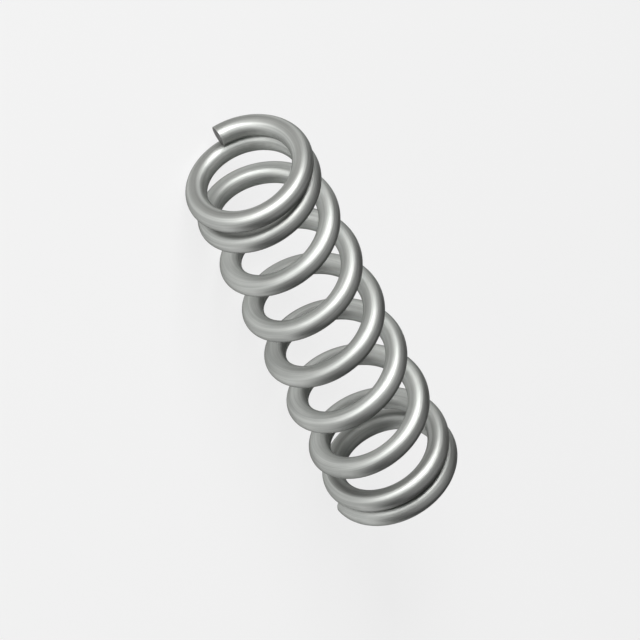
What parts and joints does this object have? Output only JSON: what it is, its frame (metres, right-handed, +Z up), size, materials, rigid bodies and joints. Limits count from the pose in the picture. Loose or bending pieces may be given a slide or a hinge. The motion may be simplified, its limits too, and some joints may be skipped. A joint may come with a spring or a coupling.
{
  "type": "compression spring",
  "caption": "Helical compression spring of round wire, right-hand wound, with closed, unground ends cut square.",
  "frame": {"origin": "bottom centre of the spring as it lies on its side, midway between its ends", "axes": "+X along the coil's axis, from the end that is nearer in the picture, +Z up"},
  "size_m": [0.046, 0.0124, 0.0125],
  "materials": {
    "spring_wire": "drawn bright steel wire, satin, with fine draw lines along the wire"
  },
  "bodies": {
    "root": {"spring": "spring_wire"}
  },
  "joints": []
}
